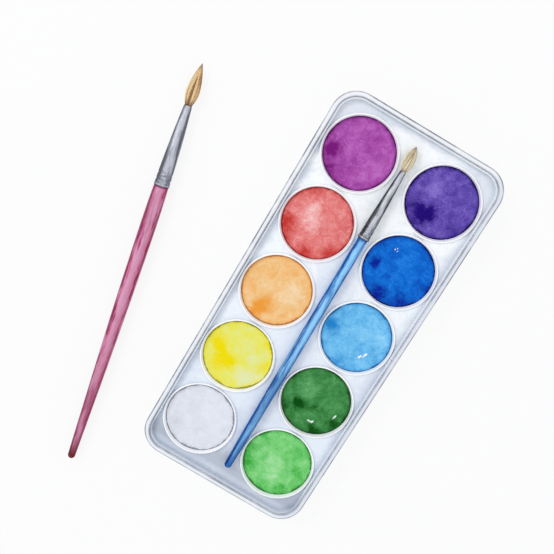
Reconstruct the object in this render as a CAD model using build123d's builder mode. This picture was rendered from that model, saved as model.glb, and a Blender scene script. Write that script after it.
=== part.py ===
"""A watercolour cake set: a white tray of ten round pans, with two round brushes.

The case is a shallow tray. A palette insert stands in it on ten sockets, and each socket
holds a round pan with a pressed cake of paint. One brush lies on the deck between the two
columns of pans. The other brush lies beside the case, on the same surface.

The frame: +Z is up, +Y runs along the case towards the magenta and violet cakes, and the
origin is the middle of the case's flat underside. Sizes are millimetres, angles degrees.
"""

import os
from dataclasses import dataclass
from math import cos, pi, radians, sin, sqrt, tan

from build123d import *

# Paint cakes, and where they stand
cake_diameter = 30.0
cake_recess = 1.6
cake_edge_round = 0.35
cake_border = 0.8
cake_dish = 0.45
rows = 5
columns = 2
left_colours = ["magenta", "red", "orange", "yellow", "white"]
right_colours = ["violet", "ultramarine", "sky_blue", "dark_green", "light_green"]

# Pans
cake_play = 0.05
pan_wall = 0.6
pan_floor = 0.8
pan_depth = 6.4
pan_taper = 3.5
pan_play = 0.15
flange_lap = 0.35
flange_height = 1.0
flange_round = 0.25
pan_bevel = 0.5
pan_spacing = 0.7
pan_floor_gap = 1.0

# Palette insert
deck_thickness = 1.2
socket_wall = 0.75
border_thickness = 0.7
border_height = 2.4
border_gap = 0.25
end_margin = 2.75
insert_play = 0.15
brush_end_room = 4.0

# Case
case_floor = 1.2
case_wall = 1.6
case_draft = 2.5
rim_width = 2.2
rim_depth = 1.8
rim_rise = 3.4
rim_round = 0.7
case_corner = 11.0
foot_round = 1.0

# Both brushes
ferrule_wall = 0.3
inner_fit = 0.05
bead_height = 0.12
bead_width = 0.9
crimp_count = 2
crimp_start = 2.6
crimp_pitch = 2.7
crimp_depth = 0.14
crimp_width = 1.1
tail_slope = 0.022
tenon_length = 12.0
glue_length = 6.0
root_length = 3.0
root_inset = 0.4
strands = 200
strand_sides = 3
strand_fill = 0.66
strand_end = 0.35
hair_levels = 6
hair_gather = 0.3
shoulder_bevel = 0.4

# Blue brush, on the deck
blue_handle_length = 115.8
blue_tail_radius = 1.6
blue_belly_radius = 2.15
blue_belly_station = 90.0
blue_shoulder_step = 0.33
blue_ferrule_length = 31.3
blue_ferrule_radius = 2.45
blue_ferrule_bulge = 0.15
blue_mouth_radius = 1.25
blue_hair_length = 11.4
blue_hair_radius = 2.3
blue_hair_belly = 4.2
blue_hair_taper = 2.3
blue_hair_bend = -0.5
blue_yaw = 0.87
blue_side_shift = 0.1
blue_end_shift = 1.0
brush_room = 0.9
brush_lift_gap = 0.15

# Pink brush, beside the case
pink_handle_length = 130.3
pink_tail_radius = 1.65
pink_belly_radius = 3.4
pink_belly_station = 112.0
pink_shoulder_step = 0.15
pink_ferrule_length = 34.9
pink_ferrule_radius = 3.3
pink_ferrule_bulge = 0.25
pink_mouth_radius = 1.7
pink_hair_length = 18.8
pink_hair_radius = 2.85
pink_hair_belly = 6.3
pink_hair_taper = 1.6
pink_hair_bend = 0.1
pink_yaw = 10.4
pink_side_gap = 21.0
pink_overhang = 27.7
table_gap = 0.05

# Radii of a pan's parts, and the pitch of the pans
bore_radius = cake_diameter / 2 + cake_play
body_radius = bore_radius + pan_wall
socket_radius = body_radius + pan_play
flange_radius = socket_radius + flange_lap
pitch = 2 * flange_radius + pan_spacing
channel_width = 2 * (max(blue_belly_radius, blue_ferrule_radius, blue_hair_radius) + brush_room)
column_gap = 2 * flange_radius + channel_width

# Levels above the surface that the case stands on
pan_bottom = case_floor + pan_floor_gap
deck_top = pan_bottom + pan_depth
deck_bottom = deck_top - deck_thickness
border_top = deck_top + border_height
case_height = deck_top + rim_rise
pan_top = deck_top + flange_height
cake_top = pan_top - cake_recess
cake_bottom = pan_bottom + pan_floor

# The insert's opening is as long as the pans need, or as the brush that lies in it
blue_length = blue_handle_length + blue_ferrule_length + blue_hair_length
pans_width = (columns - 1) * column_gap + 2 * flange_radius
pans_length = (rows - 1) * pitch + 2 * flange_radius
deck_width = pans_width + 2 * border_gap
deck_length = max(pans_length + 2 * end_margin, blue_length + 2 * brush_end_room)

# The case follows from the insert
case_width = deck_width + 2 * (border_thickness + insert_play + rim_width)
case_length = deck_length + 2 * (border_thickness + insert_play + rim_width)


def draft_in(depth: float) -> float:
    """How far a drafted side has moved in at this depth below the case's rim."""
    return depth * tan(radians(case_draft))


def taper_in(depth: float) -> float:
    """How far a pan's or a socket's tapered side has moved in at this depth."""
    return depth * tan(radians(pan_taper))


def outline(level: float, inset: float) -> Sketch:
    """The case's rounded outline at a level, drawn in by an inset from its widest."""
    corner = max(case_corner - inset, case_corner / 4)
    with BuildSketch(Plane.XY.offset(level)) as rounded:
        RectangleRounded(case_width - 2 * inset, case_length - 2 * inset, corner)
    return rounded.sketch


def keep(piece: BuildPart, name: str):
    """Label a finished piece and write it as its own file."""
    piece.part.label = name
    export_step(piece.part, f"parts/{name}.step")


os.makedirs("parts", exist_ok=True)

# Case: drafted walls, a flat floor and a thicker rim
wall_inset = rim_width - case_wall
with BuildPart() as case_tray:
    loft([outline(0, wall_inset + draft_in(case_height)), outline(case_height, wall_inset)], ruled=True)
    extrude(outline(case_height - rim_depth, 0), amount=rim_depth)
    loft(
        [
            outline(case_floor, rim_width + draft_in(case_height - case_floor)),
            outline(case_height, rim_width),
        ],
        ruled=True,
        mode=Mode.SUBTRACT,
    )
    fillet(case_tray.faces().sort_by(Axis.Z)[-1].edges(), radius=min(rim_round, 0.45 * rim_width))
    fillet(case_tray.faces().sort_by(Axis.Z)[0].edges(), radius=min(foot_round, 0.7 * case_wall))
keep(case_tray, "case_tray")

# Palette insert: a deck with an upturned border, standing on tapered sockets
skin_inset = rim_width + insert_play
deck_inset = skin_inset + border_thickness
socket_depth = deck_top - case_floor
socket_foot = socket_radius - taper_in(socket_depth)
with BuildPart() as palette_insert:
    loft(
        [
            outline(deck_bottom, skin_inset + draft_in(case_height - deck_bottom)),
            outline(border_top, skin_inset + draft_in(case_height - border_top)),
        ],
        ruled=True,
    )
    loft(
        [
            outline(deck_top, deck_inset + draft_in(case_height - deck_top)),
            outline(border_top, deck_inset + draft_in(case_height - border_top)),
        ],
        ruled=True,
        mode=Mode.SUBTRACT,
    )
    with Locations(Plane.XY.offset(case_floor)):
        with GridLocations(column_gap, pitch, columns, rows):
            Cone(
                socket_foot + socket_wall,
                socket_foot + socket_wall + taper_in(deck_bottom - case_floor),
                deck_bottom - case_floor,
                align=(Align.CENTER, Align.CENTER, Align.MIN),
            )
            Cone(
                socket_foot,
                socket_radius,
                socket_depth,
                align=(Align.CENTER, Align.CENTER, Align.MIN),
                mode=Mode.SUBTRACT,
            )
keep(palette_insert, "palette_insert")


def well_section(column: int, row: int) -> Plane:
    """An upright plane through a socket's axis: local X runs outwards and local Y runs up."""
    x = (column - (columns - 1) / 2) * column_gap
    y = ((rows - 1) / 2 - row) * pitch
    return Plane(origin=(x, y, 0), x_dir=(1, 0, 0), z_dir=(0, -1, 0))


def make_pan(section: Plane) -> BuildPart:
    """A tapered round cup whose flange rests on the deck."""
    with BuildPart() as pan:
        with BuildSketch(section):
            with BuildLine():
                Polyline(
                    (0, pan_bottom),
                    (body_radius - taper_in(pan_depth), pan_bottom),
                    (body_radius, deck_top),
                    (flange_radius, deck_top),
                    (flange_radius, pan_top),
                    (bore_radius + pan_bevel, pan_top),
                    (bore_radius, cake_top),
                    (bore_radius - taper_in(cake_top - cake_bottom), cake_bottom),
                    (0, cake_bottom),
                    close=True,
                )
            make_face()
        revolve(axis=Axis(section.origin, (0, 0, 1)))
        rim_edges = pan.edges().filter_by(GeomType.CIRCLE).group_by(Axis.Z)[-1]
        fillet(rim_edges.sort_by(SortBy.RADIUS)[-1], radius=min(flange_round, 0.4 * flange_height))
    return pan


def make_cake(section: Plane) -> BuildPart:
    """A pressed cake that fills its pan, with a rounded edge and a shallow dish worn by use."""
    top_radius = cake_diameter / 2
    dish_radius = top_radius - cake_border
    dish_low = cake_top - cake_dish
    sphere_radius = (dish_radius**2 + cake_dish**2) / (2 * cake_dish)
    halfway_up = sphere_radius - sqrt(sphere_radius**2 - dish_radius**2 / 4)
    dish_edge = (dish_radius, cake_top)
    dish_middle = (dish_radius / 2, dish_low + halfway_up)
    with BuildPart() as cake:
        with BuildSketch(section):
            with BuildLine():
                Polyline(
                    (0, dish_low),
                    (0, cake_bottom),
                    (top_radius - taper_in(cake_top - cake_bottom), cake_bottom),
                    (top_radius, cake_top),
                    dish_edge,
                )
                ThreePointArc(dish_edge, dish_middle, (0, dish_low))
            make_face()
        revolve(axis=Axis(section.origin, (0, 0, 1)))
        top_edges = cake.edges().filter_by(GeomType.CIRCLE).group_by(Axis.Z)[-1]
        fillet(top_edges.sort_by(SortBy.RADIUS)[-1], radius=min(cake_edge_round, 0.45 * cake_border))
    return cake


for column, colours in enumerate([left_colours, right_colours]):
    for row, colour in enumerate(colours):
        keep(make_pan(well_section(column, row)), f"pan_{colour}")
        keep(make_cake(well_section(column, row)), f"cake_{colour}")


@dataclass
class Brush:
    """One round brush. Stations are distances along its axis from the tail."""

    name: str
    handle_length: float
    tail_radius: float
    belly_radius: float
    belly_station: float
    shoulder_step: float
    ferrule_length: float
    ferrule_radius: float
    ferrule_bulge: float
    mouth_radius: float
    hair_length: float
    hair_radius: float
    hair_belly: float
    hair_taper: float
    hair_bend: float
    yaw: float
    tail: tuple[float, float, float]

    @property
    def mouth(self) -> float:
        """The station of the ferrule's mouth, where the hair comes out."""
        return self.handle_length + self.ferrule_length

    @property
    def section(self) -> Plane:
        """The level plane through the axis: local X runs to the right and local Y to the tip."""
        turn = radians(self.yaw)
        return Plane(origin=self.tail, x_dir=(cos(turn), sin(turn), 0), z_dir=(0, 0, 1))

    @property
    def axis(self) -> Axis:
        """The brush's own axis, from the tail to the tip."""
        return Axis(self.section.origin, self.section.y_dir)

    def cross_plane(self, station: float) -> Plane:
        """The plane across the axis at a station."""
        middle = self.section.from_local_coords((0, station, 0))
        return Plane(origin=middle, x_dir=self.section.x_dir, z_dir=self.section.y_dir)

    def bore(self, station: float) -> float:
        """The ferrule's inner radius at a station."""
        share = (station - self.handle_length) / self.ferrule_length
        cone = self.ferrule_radius + (self.mouth_radius - self.ferrule_radius) * share
        return cone + 4 * self.ferrule_bulge * share * (1 - share) - ferrule_wall


def make_handle(brush: Brush) -> BuildPart:
    """A turned handle: a rounded tail, a belly, a bevelled shoulder, and a tenon inside the ferrule."""
    tail = (brush.tail_radius, brush.tail_radius)
    tail_turn = (brush.tail_radius * sin(pi / 4), brush.tail_radius * (1 - cos(pi / 4)))
    belly = (brush.belly_radius, brush.belly_station)
    shoulder = (brush.ferrule_radius - brush.shoulder_step, brush.handle_length - shoulder_bevel)
    shoulder_fall = (shoulder[0] - belly[0], (shoulder[1] - belly[1]) / 2)
    neck = (brush.bore(brush.handle_length) - inner_fit, brush.handle_length)
    tenon_end = brush.handle_length + tenon_length
    tenon_radius = brush.bore(tenon_end) - inner_fit
    with BuildPart() as handle:
        with BuildSketch(brush.section):
            with BuildLine():
                ThreePointArc((0, 0), tail_turn, tail)
                Spline(tail, belly, tangents=[(tail_slope, 1), (0, 1)])
                Spline(belly, shoulder, tangents=[(0, 1), shoulder_fall])
                Polyline(shoulder, neck, (tenon_radius, tenon_end), (0, tenon_end), (0, 0))
            make_face()
        revolve(axis=brush.axis)
    return handle


def make_ferrule(brush: Brush) -> BuildPart:
    """A drawn metal tube, crimped onto the handle, with a bead at its base."""
    base = brush.handle_length
    outer_base = (brush.ferrule_radius, base)
    outer_mouth = (brush.mouth_radius, brush.mouth)
    inner_base = (brush.ferrule_radius - ferrule_wall, base)
    inner_mouth = (brush.mouth_radius - ferrule_wall, brush.mouth)
    with BuildPart() as ferrule:
        with BuildSketch(brush.section):
            with BuildLine():
                SagittaArc(outer_base, outer_mouth, -brush.ferrule_bulge)
                Line(outer_mouth, inner_mouth)
                SagittaArc(inner_mouth, inner_base, brush.ferrule_bulge)
                Line(inner_base, outer_base)
            make_face()
        revolve(axis=brush.axis)
        with BuildSketch(brush.section):
            with Locations((brush.bore(base + bead_width / 2) + ferrule_wall, base + bead_width / 2)):
                Ellipse(bead_height, bead_width / 2)
        revolve(axis=brush.axis)
        with BuildSketch(brush.section):
            for ring in range(crimp_count):
                station = base + crimp_start + ring * crimp_pitch
                with Locations((brush.bore(station) + ferrule_wall, station)):
                    Ellipse(crimp_depth, crimp_width / 2)
        revolve(axis=brush.axis, mode=Mode.SUBTRACT)
    return ferrule


def plug_outline(brush: Brush, low: float, high: float) -> Sketch:
    """Half the section of a plug that fills the ferrule's bore between two stations."""
    with BuildSketch(brush.section) as half:
        with BuildLine():
            Polyline(
                (0, low),
                (brush.bore(low) - inner_fit, low),
                (brush.bore(high) - inner_fit, high),
                (0, high),
                close=True,
            )
        make_face()
    return half.sketch


def make_glue(brush: Brush) -> BuildPart:
    """The glue that holds the hair's root in the ferrule."""
    high = brush.mouth - root_length
    with BuildPart() as glue:
        revolve(plug_outline(brush, high - glue_length, high), axis=brush.axis)
    return glue


@dataclass
class Strand:
    """One strand: its share of the hair's radius, and its turn about the axis."""

    share: float
    turn: float


def hair_outline(brush: Brush, reach: float) -> float:
    """The hair's radius at a reach past the mouth: it swells to a belly and comes to a point."""
    root = brush.bore(brush.mouth) - inner_fit
    if reach < brush.hair_belly:
        return root + (brush.hair_radius - root) * sin(pi / 2 * max(reach, 0) / brush.hair_belly)
    past = (reach - brush.hair_belly) / (brush.hair_length - brush.hair_belly)
    return brush.hair_radius * max(1 - past**brush.hair_taper, 0)


def gathered(brush: Brush, reach: float) -> float:
    """The radius that all strands would fill: past the belly they draw in less than the outline."""
    radius = hair_outline(brush, reach)
    if reach < brush.hair_belly:
        return radius
    return radius + hair_gather * (brush.hair_radius - radius)


def bend(brush: Brush, reach: float) -> float:
    """How far the hair leans to the right at a reach past the mouth."""
    return brush.hair_bend * (max(reach, 0) / brush.hair_length) ** 2


def straight_between(levels: list[float], reach: float, measure) -> float:
    """A measure that runs straight from each level to the next."""
    for low, high in zip(levels, levels[1:]):
        if reach <= high:
            share = (reach - low) / (high - low)
            return (1 - share) * measure(low) + share * measure(high)
    return measure(levels[-1])


def strand_reach(brush: Brush, strand: Strand) -> float:
    """Where a strand ends: the reach at which it meets the hair's outline."""
    low = brush.hair_belly
    high = brush.hair_length
    while high - low > strand_end / 100:
        middle = (low + high) / 2
        if strand.share * gathered(brush, middle) < hair_outline(brush, middle):
            low = middle
        else:
            high = middle
    return high


def make_strand(brush: Brush, strand: Strand) -> Part:
    """A thin prism from inside the root to the strand's end, straight between shared levels."""
    levels = [-root_inset, 0]
    levels += [brush.hair_length * sin(pi / 2 * step / hair_levels) for step in range(1, hair_levels + 1)]
    end = strand_reach(brush, strand)
    stops = [level for level in levels if level < end - strand_end] + [end]
    sections = []
    for stop in stops:
        spread = straight_between(levels, stop, lambda reach: gathered(brush, reach))
        lean = straight_between(levels, stop, lambda reach: bend(brush, reach))
        out = strand.share * spread
        thickness = spread * strand_fill / sqrt(strands)
        if stop == end:
            thickness *= strand_end
        with BuildSketch(brush.cross_plane(brush.mouth + stop)) as section:
            with Locations((lean + out * cos(strand.turn), out * sin(strand.turn))):
                RegularPolygon(thickness, strand_sides)
        sections.append(section.sketch)
    return loft(sections, ruled=True)


def make_hair(brush: Brush) -> BuildPart:
    """The hair: strands that turn by the golden angle from each to the next, on a solid root."""
    golden_turn = pi * (3 - sqrt(5))
    widest = 1 - strand_fill / sqrt(strands)
    bundle = [Strand(widest * sqrt((count + 0.5) / strands), count * golden_turn) for count in range(strands)]
    prisms = Compound([make_strand(brush, strand).solid() for strand in bundle])
    with BuildPart() as root:
        revolve(plug_outline(brush, brush.mouth - root_length, brush.mouth), axis=brush.axis)
    with BuildPart() as hair:
        add(root.part.fuse(prisms))
    return hair


blue_turn = radians(blue_yaw)
blue_widest = max(blue_belly_radius, blue_ferrule_radius + bead_height, blue_hair_radius)
blue_brush = Brush(
    name="blue_brush",
    handle_length=blue_handle_length,
    tail_radius=blue_tail_radius,
    belly_radius=blue_belly_radius,
    belly_station=blue_belly_station,
    shoulder_step=blue_shoulder_step,
    ferrule_length=blue_ferrule_length,
    ferrule_radius=blue_ferrule_radius,
    ferrule_bulge=blue_ferrule_bulge,
    mouth_radius=blue_mouth_radius,
    hair_length=blue_hair_length,
    hair_radius=blue_hair_radius,
    hair_belly=blue_hair_belly,
    hair_taper=blue_hair_taper,
    hair_bend=blue_hair_bend,
    yaw=blue_yaw,
    tail=(
        blue_side_shift + blue_length / 2 * sin(blue_turn),
        blue_end_shift - blue_length / 2 * cos(blue_turn),
        deck_top + brush_lift_gap + blue_widest,
    ),
)

pink_widest = max(pink_belly_radius, pink_ferrule_radius + bead_height, pink_hair_radius)
pink_brush = Brush(
    name="pink_brush",
    handle_length=pink_handle_length,
    tail_radius=pink_tail_radius,
    belly_radius=pink_belly_radius,
    belly_station=pink_belly_station,
    shoulder_step=pink_shoulder_step,
    ferrule_length=pink_ferrule_length,
    ferrule_radius=pink_ferrule_radius,
    ferrule_bulge=pink_ferrule_bulge,
    mouth_radius=pink_mouth_radius,
    hair_length=pink_hair_length,
    hair_radius=pink_hair_radius,
    hair_belly=pink_hair_belly,
    hair_taper=pink_hair_taper,
    hair_bend=pink_hair_bend,
    yaw=pink_yaw,
    tail=(
        -(case_width / 2 + pink_side_gap),
        -(case_length / 2 + pink_overhang),
        table_gap + pink_widest,
    ),
)

for brush in [blue_brush, pink_brush]:
    keep(make_handle(brush), f"{brush.name}_handle")
    keep(make_ferrule(brush), f"{brush.name}_ferrule")
    keep(make_glue(brush), f"{brush.name}_glue")
    keep(make_hair(brush), f"{brush.name}_hair")
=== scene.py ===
"""The looks of a watercolour cake set: a white tray of round cakes and two round brushes.

Everything is in metres, in the row's frame: +Z is up, +Y runs along the case towards the
magenta and violet cakes, and the origin is the middle of the case's underside.
"""

import logging
import math
import random
from collections.abc import Sequence
from dataclasses import dataclass, field
from enum import Enum

import bpy
from mathutils import Matrix, Vector, noise


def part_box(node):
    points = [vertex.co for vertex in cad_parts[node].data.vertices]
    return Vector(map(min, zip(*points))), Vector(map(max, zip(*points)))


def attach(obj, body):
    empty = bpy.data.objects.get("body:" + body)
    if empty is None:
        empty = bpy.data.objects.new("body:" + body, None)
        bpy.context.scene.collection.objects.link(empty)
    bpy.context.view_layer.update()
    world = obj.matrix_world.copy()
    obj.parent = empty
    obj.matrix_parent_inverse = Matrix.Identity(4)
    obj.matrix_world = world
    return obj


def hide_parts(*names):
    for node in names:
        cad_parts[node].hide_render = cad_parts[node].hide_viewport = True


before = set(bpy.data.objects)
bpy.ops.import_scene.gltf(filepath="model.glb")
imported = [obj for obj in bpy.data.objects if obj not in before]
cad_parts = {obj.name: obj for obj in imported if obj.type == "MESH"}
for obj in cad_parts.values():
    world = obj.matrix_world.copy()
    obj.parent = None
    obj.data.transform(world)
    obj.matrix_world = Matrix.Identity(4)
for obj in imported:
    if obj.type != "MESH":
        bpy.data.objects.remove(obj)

LOG = logging.getLogger("cake_set")
MM = 0.001
CASE_CORNER = 11 * MM
WASH_CORNER = 24 * MM
GOLDEN_TURN = math.pi * (3 - math.sqrt(5))

Span = tuple[float, float]
Triple = tuple[float, float, float]
Colour = Triple
Face = tuple[int, ...]
Socket = bpy.types.NodeSocket
Value = Socket | float
Place = Socket | Triple
Tint = Socket | Colour

WHITE: Colour = (1, 1, 1)
FLOOR_GREY: Colour = (0.86, 0.86, 0.86)
SKY_TONE: Colour = (0.97, 0.98, 1.0)


def srgb(red: float, green: float, blue: float) -> Colour:
    """Turn a display colour, each channel from 0 to 255, into a linear one.

    Args:
        red: The red channel.
        green: The green channel.
        blue: The blue channel.

    Returns:
        The linear colour.
    """
    channels = []
    for value in (red, green, blue):
        share = value / 255
        channels.append(share / 12.92 if share <= 0.04045 else ((share + 0.055) / 1.055) ** 2.4)
    return tuple(channels)


# The white of the painted glints on the cakes.
GLINT_WHITE = srgb(246, 250, 250)


class Side(Enum):
    """The two columns of wells."""

    LEFT = "left"
    RIGHT = "right"


class Tone(Enum):
    """The tones of a streaked finish."""

    DARK = "dark"
    BODY = "body"
    LIGHT = "light"


Stops = tuple[tuple[float, Tone], ...]
Streak = tuple[Socket, float, float, float, Tone]

# Painted shade and highlight around a handle: dark on its flanks, light along its top.
HANDLE_SHADING: Stops = (
    (0.265, Tone.BODY), (0.305, Tone.DARK), (0.385, Tone.DARK), (0.435, Tone.BODY), (0.48, Tone.LIGHT),
    (0.54, Tone.LIGHT), (0.62, Tone.BODY), (0.65, Tone.DARK), (0.69, Tone.DARK), (0.73, Tone.BODY),
)
# Painted shade and reflections around a ferrule: dark on its flanks, light along its top and underneath.
FERRULE_SHADING: Stops = (
    (0.12, Tone.LIGHT), (0.265, Tone.BODY), (0.3, Tone.DARK), (0.385, Tone.DARK), (0.43, Tone.BODY),
    (0.475, Tone.LIGHT), (0.56, Tone.LIGHT), (0.62, Tone.BODY), (0.66, Tone.DARK), (0.695, Tone.DARK),
    (0.735, Tone.BODY), (0.88, Tone.LIGHT),
)


@dataclass(frozen=True)
class Blotch:
    """A pool of denser or thinner paint on a cake.

    Attributes:
        across: Its place along +X from the cake's middle, in millimetres.
        along: Its place along +Y, in millimetres.
        reach: How far it reaches, in millimetres.
        shade: How much lighter it is, or darker below 0.
    """

    across: float
    along: float
    reach: float
    shade: float


@dataclass(frozen=True)
class Patch:
    """An oval place of another tone: a painted glint on a cake, a painted highlight on lacquer, or a pool of
    lacquer.

    Attributes:
        across: Its place to the right of a cake's middle or a brush's axis, in millimetres.
        along: Its place from a cake's middle or a brush's tail, in millimetres.
        length: Its length, in millimetres.
        width: Its width, in millimetres.
        turn: The angle of its length from its piece's own, in degrees.
    """

    across: float
    along: float
    length: float
    width: float
    turn: float = 0.0


class NodeTree:
    """A short way to write a node tree."""

    def __init__(self, tree: bpy.types.NodeTree) -> None:
        """Keep the tree that the nodes go into."""
        self.tree = tree

    def add(self, kind: str, **settings: str | int | bool) -> bpy.types.Node:
        """Add a node and set its properties.

        Args:
            kind: The node's type, without the ShaderNode in front.
            **settings: Properties of the node.

        Returns:
            The new node.
        """
        node = self.tree.nodes.new("ShaderNode" + kind)
        for key, value in settings.items():
            setattr(node, key, value)
        return node

    def link(self, source: Socket, target: Socket) -> None:
        """Join an output socket to an input socket."""
        self.tree.links.new(source, target)

    def feed(self, socket: Socket, value: Value | Place) -> None:
        """Give an input socket a link or a plain value.

        Args:
            socket: The input socket.
            value: An output socket, a number, a vector or a colour.
        """
        if isinstance(value, Socket):
            self.link(value, socket)
        elif socket.type == "RGBA" and len(value) == 3:
            socket.default_value = (*value, 1)
        else:
            socket.default_value = value

    def maths(self, operation: str, first: Value, second: Value = 0.0, clamp: bool = False) -> Socket:
        """Add a Math node on two values.

        Args:
            operation: The node's operation.
            first: The first value.
            second: The second value.
            clamp: Whether the result is kept from 0 to 1.

        Returns:
            The result.
        """
        node = self.add("Math", operation=operation, use_clamp=clamp)
        self.feed(node.inputs[0], first)
        self.feed(node.inputs[1], second)
        return node.outputs[0]

    def seen(self) -> Socket:
        """Tell the rays that show a surface from those that only light by it.

        Returns:
            1 for a camera, glossy or transmission ray, and 0 for the others.
        """
        rays = self.add("LightPath").outputs
        shown = self.maths("MAXIMUM", rays["Is Camera Ray"], rays["Is Glossy Ray"])
        return self.maths("MAXIMUM", shown, rays["Is Transmission Ray"])

    def mix_shaders(self, share: Value, first: Socket, second: Socket, output: bpy.types.Node) -> None:
        """Mix two shaders into the tree's output.

        Args:
            share: How much of the second one.
            first: The first shader.
            second: The second shader.
            output: The output node.
        """
        mix = self.add("MixShader")
        for socket, value in zip(mix.inputs, (share, first, second)):
            self.feed(socket, value)
        self.link(mix.outputs[0], output.inputs["Surface"])


class NodeSheet(NodeTree):
    """A material's node tree, which starts with a Principled shader."""

    def __init__(self, name: str) -> None:
        """Start a material.

        Args:
            name: The material's name.
        """
        self.material = bpy.data.materials.new(name)
        self.material.use_nodes = True
        super().__init__(self.material.node_tree)
        self.shader = self.tree.nodes["Principled BSDF"]
        self.output = self.tree.nodes["Material Output"]

    def place(self, location: Vector = Vector(), turn: float = 0.0, scale: Triple = (1, 1, 1)) -> Socket:
        """Measure object coordinates from a place, turned about Z.

        Args:
            location: Where the new coordinates start.
            turn: The angle of the new Y axis from the old one, in radians.
            scale: How long a unit of each new axis is.

        Returns:
            The coordinates.
        """
        mapping = self.add("Mapping", vector_type="TEXTURE")
        mapping.inputs["Location"].default_value = location
        mapping.inputs["Rotation"].default_value = (0, 0, turn)
        mapping.inputs["Scale"].default_value = scale
        self.link(self.add("TexCoord").outputs["Object"], mapping.inputs["Vector"])
        return mapping.outputs["Vector"]

    def cloud(self, vector: Socket, scale: float, detail: float = 3.0, rough: float = 0.55,
              warp: float = 0.0, output: str = "Fac") -> Socket:
        """Add a noise texture.

        Args:
            vector: The coordinates that it reads.
            scale: Its scale, in features a metre.
            detail: Its octaves.
            rough: How strong each further octave is.
            warp: Its distortion.
            output: Which of its outputs is wanted.

        Returns:
            The noise.
        """
        node = self.add("TexNoise")
        self.link(vector, node.inputs["Vector"])
        for key, value in (("Scale", scale), ("Detail", detail), ("Roughness", rough), ("Distortion", warp)):
            node.inputs[key].default_value = value
        return node.outputs[output]

    def vector_maths(self, operation: str, first: Place, second: Place | float = (0.0, 0.0, 0.0),
                     output: str = "Vector") -> Socket:
        """Add a Vector Math node.

        Args:
            operation: The node's operation.
            first: The first vector.
            second: The second vector, or the factor of SCALE.
            output: Which of its outputs is wanted.

        Returns:
            The result.
        """
        node = self.add("VectorMath", operation=operation)
        self.feed(node.inputs[0], first)
        self.feed(node.inputs["Scale" if operation == "SCALE" else 1], second)
        return node.outputs[output]

    def flat(self, vector: Socket) -> Socket:
        """Drop a vector's height."""
        return self.vector_maths("MULTIPLY", vector, (1, 1, 0))

    def length(self, vector: Socket) -> Socket:
        """Measure a vector's length."""
        return self.vector_maths("LENGTH", vector, output="Value")

    def split(self, vector: Socket) -> tuple[Socket, ...]:
        """Take a vector apart.

        Args:
            vector: The vector.

        Returns:
            Its X, Y and Z.
        """
        node = self.add("SeparateXYZ")
        self.link(vector, node.inputs[0])
        return tuple(node.outputs)

    def around(self, vector: Socket) -> Socket:
        """Measure the turn about the Y axis.

        Args:
            vector: The coordinates.

        Returns:
            The turn, from 0 to 1, with 0.5 straight up and more to the right.
        """
        right, _, up = self.split(vector)
        angle = self.maths("ARCTAN2", right, up)
        return self.maths("ADD", self.maths("MULTIPLY", angle, 0.5 / math.pi), 0.5)

    def spread(self, value: Socket, low: float, high: float, start: float = 0.0, end: float = 1.0,
               smooth: bool = True) -> Socket:
        """Map a range onto another and clamp it.

        Args:
            value: The value to map.
            low: The value that becomes start.
            high: The value that becomes end.
            start: The result at low.
            end: The result at high.
            smooth: Whether the step is eased.

        Returns:
            The result.
        """
        node = self.add("MapRange", interpolation_type="SMOOTHSTEP" if smooth else "LINEAR")
        self.feed(node.inputs["Value"], value)
        for key, number in (("From Min", low), ("From Max", high), ("To Min", start), ("To Max", end)):
            node.inputs[key].default_value = number
        return node.outputs["Result"]

    def ragged(self, value: Socket, cloud: Socket, reach: float, low: float = 0.3) -> Socket:
        """Shift a value by noise.

        Args:
            value: The value.
            cloud: The noise.
            reach: How far it shifts either way.
            low: The noise at which it shifts furthest down.

        Returns:
            The shifted value.
        """
        return self.maths("ADD", value, self.spread(cloud, low, 1 - low, -reach, reach))

    def ramp(self, value: Socket, stops: list[tuple[float, Colour]]) -> Socket:
        """Add a colour ramp.

        Args:
            value: The value that it reads.
            stops: Each stop's place and colour.

        Returns:
            The colour.
        """
        node = self.add("ValToRGB")
        elements = node.color_ramp.elements
        while len(elements) < len(stops):
            elements.new(0.5)
        for element, (place, colour) in zip(elements, stops):
            element.position = place
            element.color = (*colour, 1)
        self.link(value, node.inputs["Fac"])
        return node.outputs["Color"]

    def blend(self, share: Value, first: Tint, second: Tint, mode: str = "MIX") -> Socket:
        """Mix two colours.

        Args:
            share: How much of the second one.
            first: The first colour.
            second: The second colour.
            mode: The way that they mix.

        Returns:
            The colour.
        """
        node = self.add("Mix", data_type="RGBA", blend_type=mode)
        for index, value in ((0, share), (6, first), (7, second)):
            self.feed(node.inputs[index], value)
        return node.outputs[2]

    def edge_distance(self, vector: Socket, half: Span, corner: float) -> Socket:
        """Measure how far a place lies outside a rounded rectangle, and below 0 inside it.

        Args:
            vector: The coordinates, from the rectangle's middle.
            half: Half its width and half its length, in metres.
            corner: Its corners' radius, in metres.

        Returns:
            The distance.
        """
        inner = (half[0] - corner, half[1] - corner, 0)
        past = self.vector_maths("SUBTRACT", self.vector_maths("ABSOLUTE", vector), inner)
        out = self.length(self.vector_maths("MAXIMUM", self.flat(past), (0, 0, 0)))
        across, along, _ = self.split(past)
        within = self.maths("MINIMUM", self.maths("MAXIMUM", across, along), 0.0)
        return self.maths("SUBTRACT", self.maths("ADD", out, within), corner)

    def patch_distance(self, patch: Patch, start: Vector, turn: float = 0.0) -> Socket:
        """Measure how far a place lies from a patch's middle.

        Args:
            patch: The patch.
            start: The place that it is measured from.
            turn: Its piece's turn about Z.

        Returns:
            The distance, where 1 is the patch's edge.
        """
        middle = start + Matrix.Rotation(turn, 3, "Z") @ Vector((patch.across, patch.along, 0)) * MM
        size = (patch.width / 2 * MM, patch.length / 2 * MM, 1)
        return self.length(self.flat(self.place(middle, turn + math.radians(patch.turn), size)))

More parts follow.
